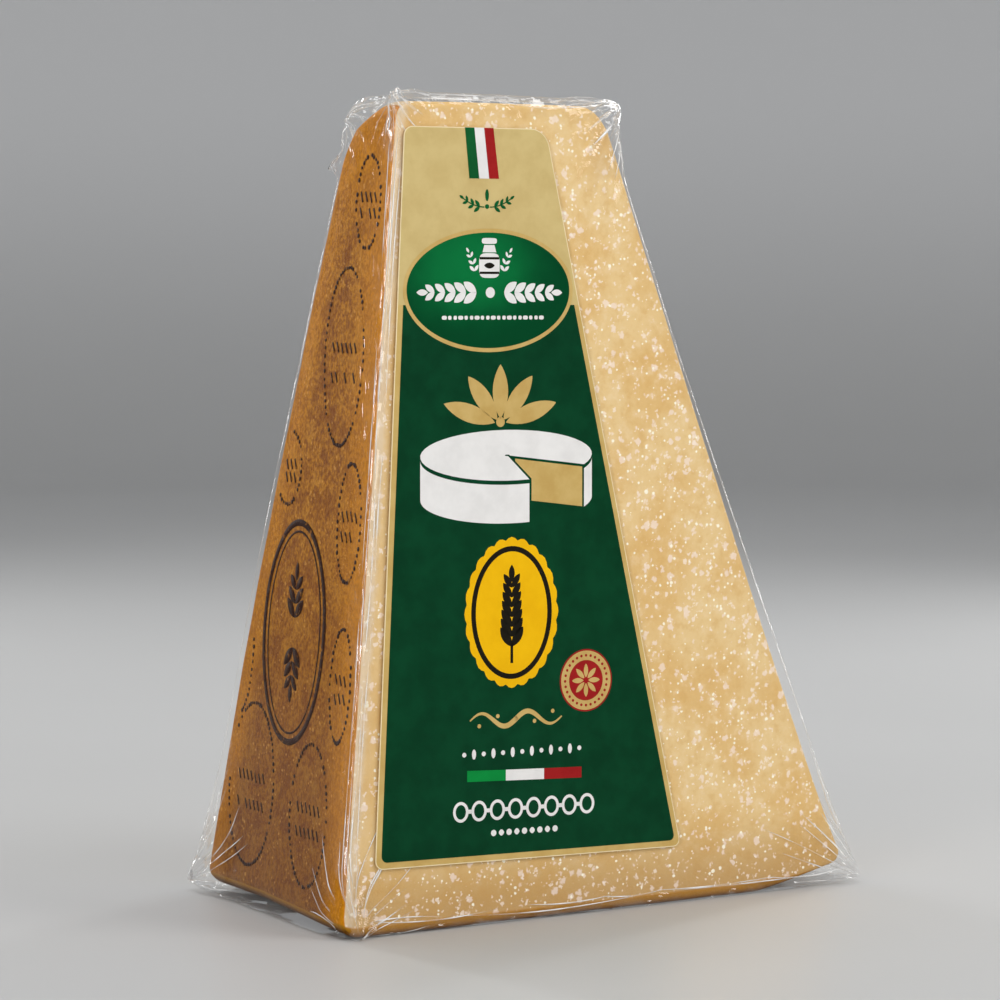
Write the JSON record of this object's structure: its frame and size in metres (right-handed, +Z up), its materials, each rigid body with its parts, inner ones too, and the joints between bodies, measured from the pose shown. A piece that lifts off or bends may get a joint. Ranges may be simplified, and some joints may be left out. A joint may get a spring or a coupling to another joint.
{
  "type": "grana padano wedge",
  "caption": "Tall wedge of aged hard cheese with rind on one side, sealed in clear film with a long green label; stands on its base.",
  "frame": {"origin": "middle of the footprint, on the surface that the wedge stands on", "axes": "+Z up along the wedge's height, the labelled cut face looks along -Y, +X runs along it from the rind to the slanted side"},
  "size_m": [0.2398, 0.1324, 0.3119],
  "materials": {
    "film": "clear glossy film, tight over the faces and crinkled at edges and corners",
    "cheese": "straw-coloured cut cheese with white crystals",
    "rind": "oiled amber-brown rind with dotted marks",
    "label": "satin printed label, green with a gold border"
  },
  "bodies": {
    "root": {"bag": "film", "label": "label"}
  },
  "joints": []
}
